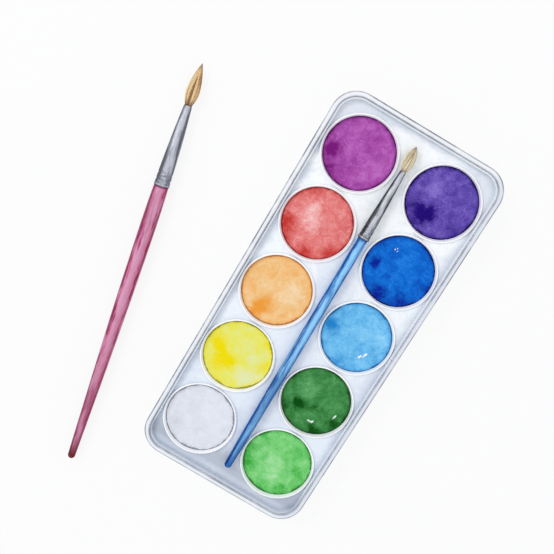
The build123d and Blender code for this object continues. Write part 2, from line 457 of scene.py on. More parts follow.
    def relief(self, height: Socket, depth: float, below: Socket | None = None) -> Socket:
        """Add a bump of a real depth.

        Args:
            height: The height, from 0 to 1.
            depth: What a height of 1 measures, in metres.
            below: The normal of a coarser bump.

        Returns:
            The normal.
        """
        node = self.add("Bump")
        node.inputs["Strength"].default_value = 1.0
        node.inputs["Distance"].default_value = depth
        self.link(height, node.inputs["Height"])
        if below is not None:
            self.link(below, node.inputs["Normal"])
        return node.outputs["Normal"]

    def surface(self, **values: Value | Tint) -> None:
        """Set the Principled shader's sockets by name, with _ for a space."""
        for key, value in values.items():
            self.feed(self.shader.inputs[key.replace("_", " ")], value)


def dress(piece: bpy.types.Object, material: bpy.types.Material) -> None:
    """Give a piece one material in place of what it has."""
    piece.data.materials.clear()
    piece.data.materials.append(material)


def make_mesh(name: str, points: list[Vector | Triple], faces: list[Face], smooth: bool = True
              ) -> bpy.types.Object:
    """Make an object of a mesh and put it in the scene.

    Args:
        name: The object's name.
        points: Its corners, in metres.
        faces: Its faces, as indices of corners.
        smooth: Whether its faces are smooth.

    Returns:
        The object.
    """
    mesh = bpy.data.meshes.new(name)
    mesh.from_pydata([tuple(point) for point in points], [], faces)
    mesh.validate()
    mesh.update()
    mesh.polygons.foreach_set("use_smooth", [smooth] * len(mesh.polygons))
    piece = bpy.data.objects.new(name, mesh)
    bpy.context.scene.collection.objects.link(piece)
    return piece


def ring_faces(rings: int, around: int, first: int = 0) -> list[Face]:
    """List the four-sided faces between rings of points, each ring closed.

    Args:
        rings: How many rings there are.
        around: How many points a ring has.
        first: The first point's index.

    Returns:
        The faces.
    """
    faces = []
    for low in range(first, first + (rings - 1) * around, around):
        for step in range(around):
            beside = (step + 1) % around
            faces.append((low + step, low + beside, low + around + beside, low + around + step))
    return faces


@dataclass(frozen=True)
class MouldedPlastic:
    """White injection-moulded plastic with a soft gloss, a faint cool mottle and faint painted shade.

    Attributes:
        name: The material's name.
        far: The plastic's colour at its +Y end.
        near: Its colour at its -Y end.
        wash: The colour that its mottled patches lean to, and the colour of the painted shade along its walls
            and on the rim's +X side.
        shade: The colour of the painted shade in its corners and gaps and at the near end, and of the rim's
            painted lines.
        depth: How strong the painted shade in corners and gaps is.
        reach: How far from a corner the painted shade starts, in metres.
        half: Half the width and length of the case, in metres, along whose edges shade is painted.
        deck: The height of the deck, in metres, which the painted shade along the edges stays above.
        alone: Whether the painted shade leaves out corners with other pieces.
        roughness: Its mean roughness.
        fade: The stations along Y where far starts to turn to near and has done so.
        edge_shade: Where the painted shade along the walls starts and is full, past the case's outline.
        end_shade: The stations along Y where the painted shade at the near end starts and is full.
        end_thin: The stations where it starts to thin out and is thinnest.
    """

    name: str
    far: Colour
    near: Colour
    wash: Colour
    shade: Colour
    depth: float
    reach: float
    half: Span | None = None
    deck: float = 0.0
    alone: bool = True
    roughness: float = 0.4
    fade: Span = (60 * MM, -60 * MM)
    edge_shade: Span = (-7.5 * MM, -3.2 * MM)
    end_shade: Span = (-69 * MM, -79 * MM)
    end_thin: Span = (-80.5 * MM, -83.5 * MM)

    def make(self) -> bpy.types.Material:
        """Build the material.

        Returns:
            The material.
        """
        sheet = NodeSheet(self.name)
        place = sheet.place()
        mottle = sheet.cloud(place, 75, 4, 0.62, 0.8)
        fine = sheet.cloud(place, 420, 3, 0.6)
        along = sheet.spread(sheet.split(place)[1], *self.fade)
        colour = sheet.blend(along, self.far, self.near)
        patches = sheet.maths("MULTIPLY", sheet.spread(mottle, 0.42, 0.72), 0.4)
        patches = sheet.maths("ADD", patches, sheet.spread(fine, 0.4, 0.8, 0, 0.25))
        colour = sheet.blend(patches, colour, self.wash)
        if self.half is not None:
            colour = self.paint_edge_shade(sheet, place, mottle, colour)
        # Painted shade: where the AO node finds corners and gaps, the colour darkens towards the shade
        # colour, broken up by the mottle.
        corner = sheet.add("AmbientOcclusion", samples=8, only_local=self.alone)
        corner.inputs["Distance"].default_value = self.reach
        corner_shade = sheet.spread(corner.outputs["AO"], 0.92, 0.35, 0, self.depth)
        corner_shade = sheet.maths("MULTIPLY", corner_shade, sheet.spread(mottle, 0.3, 0.65, 0.7, 1.0))
        colour = sheet.blend(corner_shade, colour, self.shade)
        scuff = sheet.cloud(sheet.place(scale=(1, 0.12, 1)), 900, 3, 0.6)
        grain = sheet.cloud(place, 2600, 2)
        sheet.surface(
            Base_Color=colour,
            Roughness=sheet.spread(scuff, 0.3, 0.8, self.roughness - 0.08, self.roughness + 0.14),
            Specular_IOR_Level=0.3,
            Normal=sheet.relief(grain, 0.012 * MM, sheet.relief(mottle, 0.05 * MM)),
        )
        return sheet.material

    def paint_edge_shade(self, sheet: NodeSheet, place: Socket, mottle: Socket, colour: Socket) -> Socket:
        """Lay painted shade on the deck and inside the border, along the edges and at the near end.

        Args:
            sheet: The material's sheet.
            place: The coordinates.
            mottle: The mottle, which breaks the painted shade up.
            colour: The colour so far.

        Returns:
            The colour with its painted shade.
        """
        _, along, height = sheet.split(place)
        ragged = sheet.spread(mottle, 0.3, 0.7, -1.6 * MM, 1.6 * MM)
        edge = sheet.maths("ADD", sheet.edge_distance(place, self.half, WASH_CORNER), ragged)
        outward = sheet.vector_maths("NORMALIZE", sheet.flat(place))
        normal = sheet.add("TexCoord").outputs["Normal"]
        faced = sheet.vector_maths("DOT_PRODUCT", normal, outward, output="Value")
        above = sheet.spread(height, self.deck - 0.8 * MM, self.deck - 0.2 * MM)
        inside = sheet.maths("MULTIPLY", above, sheet.spread(faced, 0.15, 0.35, 1, 0))
        # Painted shade in a band along the walls, on the deck and on the border's inside faces.
        band = sheet.spread(edge, *self.edge_shade, 0, 0.55)
        colour = sheet.blend(sheet.maths("MULTIPLY", band, inside), colour, self.wash)
        # Painted shade at the near end of the deck, which thins out at the very end.
        low = sheet.maths("ADD", along, sheet.maths("MULTIPLY", ragged, 1.5))
        end = sheet.spread(low, *self.end_shade, 0, 0.62)
        thinned = sheet.spread(along, *self.end_thin, 1, 0.35)
        end = sheet.maths("MULTIPLY", end, sheet.maths("MULTIPLY", thinned, inside))
        return sheet.blend(end, colour, self.shade)


@dataclass(frozen=True)
class RimmedPlastic(MouldedPlastic):
    """The case's plastic, with painted shade on its rim's +X side and a thin grey line of painted shade where
    its rim rounds over.

    Attributes:
        rim: The heights at which the rim's tones start and are full, in metres.
        side_shade: The stations along X where the painted shade of its +X side starts and is full.
        outer_shade_line: Where the painted shade line on the outer rounding starts and is full, past the
            case's outline.
        inner_shade_line: Where the painted shade line on the inner rounding starts and is full.
    """

    rim: Span = (10.9 * MM, 11.5 * MM)
    side_shade: Span = (30 * MM, 36 * MM)
    outer_shade_line: Span = (-0.75 * MM, -0.35 * MM)
    inner_shade_line: Span = (-1.5 * MM, -2.0 * MM)

    def paint_edge_shade(self, sheet: NodeSheet, place: Socket, mottle: Socket, colour: Socket) -> Socket:
        """Paint shade on the rim's +X side and a line of shade on its two roundings.

        Args:
            sheet: The material's sheet.
            place: The coordinates.
            mottle: The mottle, which breaks the line up.
            colour: The colour so far.

        Returns:
            The colour with its painted shade.
        """
        across, _, height = sheet.split(place)
        raised = sheet.spread(height, *self.rim)
        # Painted shade on the +X side of the rim.
        beside = sheet.spread(across, *self.side_shade, 0, 0.8)
        colour = sheet.blend(sheet.maths("MULTIPLY", beside, raised), colour, self.wash)
        # Painted shade: a grey line on the rim's outer and inner roundings.
        edge = sheet.edge_distance(place, self.half, CASE_CORNER)
        strength = sheet.spread(mottle, 0.35, 0.65, 0.45, 1.0)
        outer = sheet.maths("MULTIPLY", sheet.spread(edge, *self.outer_shade_line), strength)
        inner = sheet.maths("MULTIPLY", sheet.spread(edge, *self.inner_shade_line, 0, 0.72), strength)
        line = sheet.maths("MULTIPLY", sheet.maths("MAXIMUM", outer, inner), raised)
        return sheet.blend(line, colour, self.shade)


@dataclass(frozen=True)
class PaintCake:
    """Pressed watercolour, wetted and dried: pools, pale patches, grains, a dark rim and painted glints.

    Attributes:
        name: The material's name.
        dark: The colour of its pools and its rim.
        body: The colour of most of it.
        light: The colour of its thin places.
        edge: The colour of the dried line at its edge.
        blotches: Its pools and pale patches.
        glints: Its painted glints, white specks that stand in for highlights on wet paint.
        wander: The span over which its pools are pushed out of round, in metres.
        rim: How far inside its edge the rim starts to darken and is full, in metres.
        line: How far inside its edge the dried line starts and is full, in metres.
    """

    name: str
    dark: Colour
    body: Colour
    light: Colour
    edge: Colour
    blotches: tuple[Blotch, ...]
    glints: tuple[Patch, ...]
    wander: float = 8 * MM
    rim: Span = (1.9 * MM, 0.3 * MM)
    line: Span = (0.65 * MM, 0.3 * MM)

    def make(self, centre: Vector, radius: float) -> bpy.types.Material:
        """Build the material for a cake.

        Args:
            centre: The middle of the cake's top.
            radius: The cake's radius.

        Returns:
            The material.
        """
        sheet = NodeSheet(self.name)
        whole = sheet.place()
        local = sheet.place(centre)
        wobble = sheet.cloud(whole, 190, 4, 0.65, output="Color")
        push = sheet.vector_maths("SUBTRACT", wobble, (0.5, 0.5, 0.5))
        warp = sheet.vector_maths("SCALE", push, self.wander)
        flat = sheet.flat(sheet.vector_maths("ADD", local, warp))
        cloud = sheet.cloud(whole, 230, 6, 0.68, 0.6)
        shade = sheet.spread(cloud, 0.28, 0.72, 0.26, 0.74, smooth=False)
        for blotch in self.blotches:
            middle = (blotch.across * MM, blotch.along * MM, 0)
            away = sheet.vector_maths("DISTANCE", flat, middle, output="Value")
            shade = sheet.maths("ADD", shade, sheet.spread(away, 0, blotch.reach * MM, blotch.shade, 0))
        grains = sheet.cloud(whole, 1700, 3, 0.7)
        shade = sheet.maths("ADD", shade, sheet.spread(grains, 0.3, 0.75, -0.1, 0.1), clamp=True)
        colour = sheet.ramp(shade, [(0.06, self.dark), (0.5, self.body), (0.94, self.light)])
        colour = self.draw_rim(sheet, local, push, radius, colour)
        # Painted glints: small white specks that stand in for highlights on wet paint.
        for glint in self.glints:
            broken = sheet.cloud(whole, 1500, 2, 0.6)
            ragged = sheet.ragged(sheet.patch_distance(glint, centre), broken, 0.5, 0.35)
            colour = sheet.blend(sheet.spread(ragged, 0.75, 1.0, 0.95, 0), colour, GLINT_WHITE)
        damp = sheet.cloud(whole, 420, 2, 0.5)
        sheet.surface(
            Base_Color=colour,
            Roughness=sheet.spread(damp, 0.35, 0.65, 0.38, 0.65),
            Specular_IOR_Level=0.07,
            Normal=sheet.relief(grains, 0.035 * MM),
        )
        return sheet.material

    def draw_rim(self, sheet: NodeSheet, local: Socket, push: Socket, radius: float, colour: Socket
                 ) -> Socket:
        """Darken the cake's rim, as paint dries there, in a line of uneven width.

        Args:
            sheet: The material's sheet.
            local: The coordinates from the cake's middle.
            push: The noise that makes the line uneven.
            radius: The cake's radius.
            colour: The colour so far.

        Returns:
            The colour with its rim.
        """
        uneven = sheet.vector_maths("DOT_PRODUCT", push, (2 * MM, 2 * MM, 0), output="Value")
        ragged = sheet.maths("ADD", sheet.length(sheet.flat(local)), uneven)
        pooled = sheet.spread(ragged, radius - self.rim[0], radius - self.rim[1], 0, 0.5)
        colour = sheet.blend(pooled, colour, self.dark)
        line = sheet.spread(ragged, radius - self.line[0], radius - self.line[1], 0, 0.85)
        return sheet.blend(line, colour, self.edge)


@dataclass(frozen=True)
class StreakedFinish:
    """A finish of a round piece, with painted shade and highlight around it and streaks along it.

    Attributes:
        name: The material's name.
        dark: The colour of the painted shade on its flanks, and of its darker streaks and marks.
        body: The colour of most of it.
        light: The colour of the painted highlight along its top, and of its paler streaks and marks.
    """

    name: str
    dark: Colour
    body: Colour
    light: Colour

    def tone(self, tone: Tone) -> Colour:
        """Find the colour of a tone."""
        return getattr(self, tone.value)

    def colour_round(self, sheet: NodeSheet, angle: Socket, stops: Stops, streaks: tuple[Streak, ...]
                     ) -> Socket:
        """Lay the painted shade and highlight around the piece and the streaks on them, which are weaker on
        its flanks.

        Args:
            sheet: The material's sheet.
            angle: The turn about the axis.
            stops: Where each tone lies.
            streaks: Each streak's noise, where it starts and is full, its strength and its tone.

        Returns:
            The colour.
        """
        colour = sheet.ramp(angle, [(place, self.tone(tone)) for place, tone in stops])
        flank = sheet.maths("ABSOLUTE", sheet.maths("SUBTRACT", angle, 0.5))
        calm = sheet.spread(flank, 0.16, 0.27, 1, 0.3)
        for cloud, start, full, strength, tone in streaks:
            streak = sheet.maths("MULTIPLY", sheet.spread(cloud, start, full, 0, strength), calm)
            colour = sheet.blend(streak, colour, self.tone(tone))
        return colour


@dataclass(frozen=True)
class HandleLacquer(StreakedFinish):
    """Coloured lacquer on a turned handle, streaked along it and denser at the tail.

    Attributes:
        tail: The tint that the tail's denser lacquer has.
        tail_reach: How far the tail's tint reaches, in metres.
        painted_highlights: Pale patches of painted highlight on the lacquer.
        pools: Places where it is denser.
        tail_start: Where the tail's tint starts to fade, in metres.
        deep: The stations where the darker tail half starts to lighten and has done so.
        neck_shadow: How far before the handle's end the painted shadow under the ferrule's edge starts and is
            full, in metres.
    """

    tail: Colour
    tail_reach: float
    painted_highlights: tuple[Patch, ...]
    pools: tuple[Patch, ...]
    tail_start: float = 2 * MM
    deep: Span = (10 * MM, 85 * MM)
    neck_shadow: Span = (1.1 * MM, 0.4 * MM)

    def make(self, start: Vector, turn: float, length: float) -> bpy.types.Material:
        """Build the material for a handle.

        Args:
            start: The tail's place.
            turn: The brush's turn about Z.
            length: The handle's length.

        Returns:
            The material.
        """
        sheet = NodeSheet(self.name)
        along = sheet.place(start, turn)
        station = sheet.split(along)[1]
        fine = sheet.cloud(sheet.place(start, turn, (1, 12, 1)), 1300, 4, 0.65)
        broad = sheet.cloud(sheet.place(start, turn, (1, 9, 1)), 420, 3, 0.55)
        angle = sheet.ragged(sheet.ragged(sheet.around(along), broad, 0.04), fine, 0.04)
        colour = self.colour_round(sheet, angle, HANDLE_SHADING, (
            (broad, 0.54, 0.66, 0.65, Tone.LIGHT),
            (broad, 0.46, 0.34, 0.6, Tone.DARK),
            (fine, 0.46, 0.3, 0.55, Tone.DARK),
            (fine, 0.56, 0.7, 0.5, Tone.LIGHT),
        ))
        colour = sheet.blend(sheet.spread(station, *self.deep, 0.36, 0), colour, self.dark)
        dipped = sheet.ragged(station, fine, 3 * MM)
        tint = sheet.spread(dipped, self.tail_start, self.tail_reach, 1.0, 0, smooth=False)
        colour = sheet.blend(tint, colour, self.tail, "MULTIPLY")
        # Pools darken the lacquer, and the pale patches are painted highlights that lighten it.
        for patches, tone in ((self.pools, self.dark), (self.painted_highlights, self.light)):
            for patch in patches:
                ragged = sheet.ragged(sheet.patch_distance(patch, start, turn), fine, 0.35, 0.35)
                colour = sheet.blend(sheet.spread(ragged, 0.4, 1.2, 0.5, 0), colour, tone)
        # Painted shadow: a dark band at the handle's end, under the ferrule's edge.
        neck_shadow = sheet.spread(station, length - self.neck_shadow[0], length - self.neck_shadow[1], 0, 0.75)
        colour = sheet.blend(neck_shadow, colour, self.dark)
        sheet.surface(
            Base_Color=colour,
            Roughness=sheet.spread(broad, 0.35, 0.7, 0.3, 0.45),
            Specular_IOR_Level=0.16,
            Coat_Weight=0.08,
            Coat_Roughness=0.15,
            Normal=sheet.relief(fine, 0.03 * MM),
        )
        return sheet.material


@dataclass(frozen=True)
class DrawnFerrule(StreakedFinish):
    """Drawn aluminium with fine streaks along it and a dented crimp band, whose dents carry painted shade and
    highlights.

    Attributes:
        band: The stations where the crimp band starts to fade and ends, from the base.
        bead_rise: The stations where the bead's painted highlight starts and is full.
        bead_fall: The stations where it ends and is still full.
        seam: The stations where the dark line at the base starts to fade and ends.
    """

    band: Span = (5 * MM, 8 * MM)
    bead_rise: Span = (0.3 * MM, 0.5 * MM)
    bead_fall: Span = (1.1 * MM, 0.8 * MM)
    seam: Span = (0.15 * MM, 0.4 * MM)

    def make(self, start: Vector, turn: float) -> bpy.types.Material:
        """Build the material for a ferrule.

        Args:
            start: The ferrule's base.
            turn: The brush's turn about Z.

        Returns:
            The material.
        """
        sheet = NodeSheet(self.name)
        along = sheet.place(start, turn)
        station = sheet.split(along)[1]
        fine = sheet.cloud(sheet.place(start, turn, (1, 9, 1)), 1700, 4, 0.65)
        broad = sheet.cloud(sheet.place(start, turn, (1, 6, 1)), 420, 3, 0.5)
        dents = sheet.cloud(along, 620, 3, 0.6)
        angle = sheet.ragged(sheet.around(along), broad, 0.04)
        colour = self.colour_round(sheet, angle, FERRULE_SHADING, (
            (fine, 0.52, 0.7, 0.5, Tone.LIGHT),
            (fine, 0.48, 0.3, 0.6, Tone.DARK),
        ))
        band = sheet.spread(station, *self.band, 1, 0)
        # Painted shade and highlights on the crimp band's dents: darker where they sink, lighter where they
        # rise.
        dented = sheet.maths("MULTIPLY", band, sheet.spread(dents, 0.56, 0.4, 0.15, 0.65))
        colour = sheet.blend(dented, colour, self.dark)
        bright = sheet.maths("MULTIPLY", band, sheet.spread(dents, 0.58, 0.68, 0, 0.5))
        colour = sheet.blend(bright, colour, self.light)
        # Painted highlight on the bead.
        lit = sheet.spread(station, *self.bead_rise)
        lit = sheet.maths("MULTIPLY", lit, sheet.spread(station, *self.bead_fall))
        colour = sheet.blend(sheet.maths("MULTIPLY", lit, 0.5), colour, self.light)
        colour = sheet.blend(sheet.spread(station, *self.seam, 0.8, 0), colour, self.dark)
        relief = sheet.relief(sheet.maths("MULTIPLY", band, dents), 0.16 * MM)
        sheet.surface(
            Base_Color=colour,
            Metallic=0.75,
            Roughness=sheet.spread(fine, 0.35, 0.65, 0.56, 0.4),
            Normal=sheet.relief(fine, 0.02 * MM, relief),
        )
        return sheet.material


@dataclass(frozen=True)
class GoldenHair:
    """Fine golden fibre, browner at the root, pale in the belly and greyish at the tip.

    Attributes:
        name: The material's name.
        root: The colour at the ferrule's mouth.
        dark: The colour of the darker strands.
        body: The colour of most strands.
        light: The colour of the palest strands.
        tip: The colour at the tip.
        root_share: The share of its length that the root's colour reaches.
        tip_share: The share of its length at which the tip's colour starts.
    """

    name: str
    root: Colour
    dark: Colour
    body: Colour
    light: Colour
    tip: Colour
    root_share: float = 0.18
    tip_share: float = 0.72

    def make(self, start: Vector, turn: float, length: float) -> bpy.types.Material:
        """Build the material for a head of hair.

        Args:
            start: The ferrule's mouth.
            turn: The brush's turn about Z.
            length: The hair's length.

        Returns:
            The material.
        """
        sheet = NodeSheet(self.name)
        strand = sheet.add("Attribute", attribute_name="strand_shade").outputs["Fac"]
        locks = sheet.cloud(sheet.place(start, turn, (1, 9, 1)), 700, 3, 0.6, 0.5)
        both = sheet.maths("ADD", sheet.maths("MULTIPLY", strand, 0.7), sheet.maths("MULTIPLY", locks, 0.3))
        colour = sheet.ramp(both, [(0.14, self.dark), (0.38, self.body), (0.58, self.light)])
        station = sheet.split(sheet.place(start, turn))[1]
        rooted = sheet.spread(station, 0, self.root_share * length, 0.85, 0)
        colour = sheet.blend(rooted, colour, self.root)
        tipped = sheet.spread(station, self.tip_share * length, length, 0, 0.8)
        colour = sheet.blend(tipped, colour, self.tip)
        sheet.surface(
            Base_Color=colour,
            Roughness=0.42,
            Specular_IOR_Level=0.6,
            Normal=sheet.relief(locks, 0.02 * MM),
        )
        return sheet.material


@dataclass(frozen=True)
class SetGlue:
    """Amber resin in the ferrule.

    Attributes:
        name: The material's name.
        body: The colour of most of it.
        bubbled: The colour of its bubbles.
    """

    name: str
    body: Colour = srgb(150, 118, 72)
    bubbled: Colour = srgb(190, 160, 110)

    def make(self) -> bpy.types.Material:
        """Build the material.

        Returns:
            The material.
        """
        sheet = NodeSheet(self.name)
        bubbles = sheet.cloud(sheet.place(), 900, 3)
        colour = sheet.blend(sheet.spread(bubbles, 0.3, 0.7), self.body, self.bubbled)
        sheet.surface(Base_Color=colour, Roughness=0.3, Normal=sheet.relief(bubbles, 0.03 * MM))
        return sheet.material


PAINTS: dict[str, PaintCake] = {}


def paint(name: str, dark: Triple, body: Triple, light: Triple, edge: Triple,
          blotches: Sequence[tuple[float, ...]], glints: Sequence[tuple[float, ...]] = ()) -> None:
    """Put a paint on the list.

    Args:
        name: The paint's colour name, as in the node's name.
        dark: Its pools, as a display colour.
        body: Most of it.
        light: Its thin places.
        edge: Its dried edge.
        blotches: Across, along, reach and shade of each blotch, in millimetres.
        glints: Across, along, length, width and turn of each painted glint.
    """
    PAINTS[name] = PaintCake(
        name=f"paint_{name}",
        dark=srgb(*dark),
        body=srgb(*body),
        light=srgb(*light),
        edge=srgb(*edge),
        blotches=tuple(Blotch(*numbers) for numbers in blotches),
        glints=tuple(Patch(*numbers) for numbers in glints),
    )


paint("magenta", (120, 20, 118), (172, 82, 172), (204, 128, 204), (94, 20, 96),
      [(-10.6, -3.5, 5, -0.65), (-9, -9, 7, -0.28), (-4.5, -12, 6, -0.15), (0.7, 5.7, 5, -0.15),
       (10, -2, 8, 0.15), (-4, 10, 6, 0.05)])
paint("red", (196, 52, 44), (229, 128, 126), (248, 198, 196), (146, 30, 26),
      [(-4.2, 4.2, 7, 0.3), (-3, -1.4, 6, 0.3), (4.2, -4.2, 8, 0.05), (-11.3, -4.2, 5, -0.48),
       (-8.5, -9.2, 6, -0.25), (1.4, -13, 6, -0.45), (11.3, -8.5, 6, -0.42), (-9.9, 10.6, 6, -0.25),
       (-5.7, 9.9, 4, -0.22), (10, 5, 8, -0.05)])
paint("orange", (238, 156, 58), (242, 196, 134), (248, 222, 186), (192, 118, 44),
      [(-1.4, -8.5, 7, -0.42), (-3.5, -12, 5, -0.3), (-11, -4, 5, -0.06), (-12.7, 4.2, 4, -0.12),
       (0, 12.5, 4, -0.1), (5.7, 2, 8, 0.32), (3.6, -7.5, 4.5, 0.1)])
paint("yellow", (240, 220, 0), (232, 231, 104), (227, 232, 184), (150, 150, 10),
      [(-7, -1.4, 6, -0.6), (-1.4, -4.2, 5, -0.6), (-11.3, 1.4, 5, -0.35), (-5.7, -7, 5, -0.4),
       (12.7, 1.4, 4, -0.25), (9.2, 11.3, 4, -0.25), (-1.4, 6.5, 8, 0.05), (7.5, -7, 8, 0.45),
       (6, 3, 7, 0.2)])
paint("white", (208, 210, 218), (223, 227, 236), (236, 240, 248), (140, 142, 154),
      [(-8, -10, 7, -0.3), (5, 5, 9, 0.2)])
paint("violet", (30, 0, 112), (98, 76, 172), (146, 126, 210), (18, 0, 66),
      [(-3.5, -7, 6.5, -0.62), (-8.5, -5.7, 5.5, -0.28), (-6.4, -12, 5, -0.3), (10.6, -8.5, 6, -0.18),
       (-14, 0, 4, -0.15), (-5.7, 4.2, 6, 0.35), (1.4, 3, 8, 0.06)])
paint("ultramarine", (0, 30, 146), (6, 106, 208), (54, 150, 240), (0, 18, 88),
      [(-9.9, -1.7, 4, -0.65), (-1.4, -12.7, 6, -0.55), (-8.5, -8.5, 5, -0.05), (8.5, -10.6, 6, -0.3),
       (13.5, 0, 4, -0.2), (-12, 7.8, 4, -0.15), (-1.4, 0, 8, 0.06), (0, 8, 7, 0.1)],
      [(-5.3, 8.0, 0.6, 0.5, 0), (-6.0, 7.2, 0.5, 0.5, 0), (-4.7, 7.1, 0.7, 0.4, -50)])
paint("sky_blue", (34, 134, 204), (108, 188, 236), (160, 220, 252), (16, 92, 150),
      [(-12.7, 0, 5, -0.45), (-10.6, -2.8, 4, -0.2), (-1.4, -12.7, 5, -0.22), (4.4, -7.6, 3.5, 0.1),
       (0, 5.7, 8, 0.1), (8.5, 4.2, 6, 0.2)],
      [(5.4, -6.6, 2.6, 0.9, -40), (7.0, -4.6, 2.6, 1.1, -32), (6.8, -5.9, 1.4, 0.45, -35)])
paint("dark_green", (0, 74, 6), (62, 136, 70), (112, 182, 118), (6, 58, 12),
      [(-5.7, -5, 4.5, -0.68), (0.7, -3.5, 3, -0.3), (6.4, -12, 5, -0.4), (12, -5.7, 5, -0.45),
       (-11, -8.5, 5, -0.25), (-5.7, 4.2, 7, 0.32), (5.7, 1.4, 7, 0.02), (-4.2, -10.6, 4, -0.05)],
      [(3.0, -9.0, 2.8, 1.1, -72), (10.5, -2.1, 2.1, 0.6, -8)])
paint("light_green", (50, 168, 56), (122, 209, 120), (174, 228, 170), (36, 122, 42),
      [(-13, 0, 4, -0.3), (-11, -7, 5.5, -0.45), (-10, 7.8, 4, -0.2), (7, 8.5, 6, -0.12),
       (10, 0, 5, -0.25), (0, -13.5, 4, -0.3), (7, -10, 5, -0.3), (-0.7, -1.4, 6, 0.32),
       (1.4, -7, 5, 0.38), (-5.7, 2.8, 5, 0.1)])

COLUMNS = {
    Side.LEFT: ("magenta", "red", "orange", "yellow", "white"),
    Side.RIGHT: ("violet", "ultramarine", "sky_blue", "dark_green", "light_green"),
}


@dataclass
class Tray:
    """The case and the palette insert that stands in it.

    Attributes:
        border_height: How far the insert's border stands above its deck, in metres.
    """

    border_height: float = 2.4 * MM

    def dress(self) -> None:
        """Give both mouldings their plastic."""
        low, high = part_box("case_tray")
        half = ((high.x - low.x) / 2, (high.y - low.y) / 2)
        case = RimmedPlastic(
            name="case_plastic",
            far=srgb(241, 243, 247),
            near=srgb(236, 240, 245),
            wash=srgb(218, 224, 234),
            shade=srgb(118, 122, 134),
            depth=0.6,
            reach=4 * MM,
            half=half,
        )
        insert = MouldedPlastic(
            name="insert_plastic",
            far=srgb(252, 254, 255),
            near=srgb(232, 240, 249),
            wash=srgb(209, 217, 230),
            shade=srgb(152, 160, 176),
            depth=0.3,
            reach=3 * MM,
            half=half,
            deck=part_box("palette_insert")[1].z - self.border_height,
        )
        dress(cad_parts["case_tray"], case.make())
        dress(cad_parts["palette_insert"], insert.make())
        LOG.info("tray dressed")


@dataclass
class PaintWell:
    """One pan with its cake of paint.

    Attributes:
        colour: The paint's name.
        side: The column that it is in.
        rings: How many rings of points the cake's top has.
        around: How many points a ring has.
        dish: How deep the cake is worn at its middle, in metres.
        bevel: How far its edge is rounded down, in metres.
        settle: How far the rest of its top lies below its middle point, in metres.
        draft: How much smaller its foot is than its edge, in metres.
        cake: The cake, once it is built.
    """

    colour: str
    side: Side
    rings: int = 56
    around: int = 144
    dish: float = 0.32 * MM
    bevel: float = 0.3 * MM
    settle: float = 0.04 * MM
    draft: float = 0.27 * MM
    cake: bpy.types.Object | None = field(default=None, repr=False)

    def __post_init__(self) -> None:
        """Read the cake's place and size from its node."""
        low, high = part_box(f"cake_{self.colour}")
        self.centre = Vector(((low.x + high.x) / 2, (low.y + high.y) / 2, high.z))
        self.radius = (high.x - low.x) / 2
        self.bottom = low.z
        self.seed = Vector((len(self.colour) * 3.1, self.centre.x * 900, self.centre.y * 900))

    def drop(self, out: float, turn: float) -> float:
        """Measure how far the cake's top lies below its edge.

        Args:
            out: The distance from the middle, in metres.
            turn: The direction from the middle.

        Returns:
            The depth, in metres.
        """
        share = out / self.radius
        spot = Vector((out * math.cos(turn), out * math.sin(turn), 0))
        worn = self.dish * (1 - share**2)
        broad = noise.noise(spot * 110 + self.seed) * 0.1 * MM
        rubbed = noise.noise(Vector((out * 500, turn * 0.9, 0)) + self.seed) * 0.035 * MM
        fine = noise.noise(spot * 700 + self.seed) * 0.02 * MM
        inside = min(1.0, (1 - share) / 0.12)
        return worn + (broad + rubbed + fine + 0.1 * MM) * inside

    def point(self, out: float, turn: float, drop: float) -> Vector:
        """Find a point of the cake from its distance, direction and depth."""
        return self.centre + Vector((out * math.cos(turn), out * math.sin(turn), -drop))

    def build(self) -> None:
        """Build the cake: a worn top over a tapered side and a flat bottom."""
        points = [self.point(0, 0, self.drop(0, 0))]
        turns = [2 * math.pi * step / self.around for step in range(self.around)]
        for ring in range(1, self.rings + 1):
            out = (self.radius - self.bevel) * math.sin(math.pi / 2 * ring / self.rings)
            points += [self.point(out, turn, self.drop(out, turn) + self.settle) for turn in turns]
        for out, drop in ((self.radius, self.bevel), (self.radius - self.draft, self.centre.z - self.bottom)):
            points += [self.point(out, turn, drop) for turn in turns]
        rings = self.rings + 2
        faces = [face[::-1] for face in ring_faces(rings, self.around, 1)]
        faces += [(0, 1 + step, 1 + (step + 1) % self.around) for step in range(self.around)]
        last = 1 + (rings - 1) * self.around
        faces.append(tuple(range(last, last + self.around))[::-1])
        self.cake = make_mesh(f"{self.colour}_cake_worn", points, faces)
        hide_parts(f"cake_{self.colour}")
        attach(self.cake, f"{self.colour}_well")

    def dress(self, plastic: bpy.types.Material) -> None:
        """Finish the pan and the cake.

        Args:
            plastic: The pans' plastic.
        """
        dress(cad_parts[f"pan_{self.colour}"], plastic)
        dress(self.cake, PAINTS[self.colour].make(self.centre, self.radius))
        LOG.info("%s well on the %s built", self.colour, self.side.value)


@dataclass
class HairMesh:
    """Closed tubes that share a mesh, with a shade at each point.

    Attributes:
        points: Their corners.
        faces: Their faces, as indices of corners.
        shades: Each corner's shade.
    """

    points: list[Vector] = field(default_factory=list)
    faces: list[Face] = field(default_factory=list)
    shades: list[float] = field(default_factory=list)

    def add(self, rings: list[list[Vector]], shades: list[float]) -> None:
        """Add a tube through rings of points, closed at both ends.

        Args:
            rings: The rings, which all have as many points.
            shades: Each ring's shade.
        """
        first, around = len(self.points), len(rings[0])
        for ring, shade in zip(rings, shades):
            self.points += ring
            self.shades += [shade] * around
        last = len(self.points) - around
        self.faces += ring_faces(len(rings), around, first)
        self.faces.append(tuple(range(first, first + around))[::-1])
        self.faces.append(tuple(range(last, last + around)))


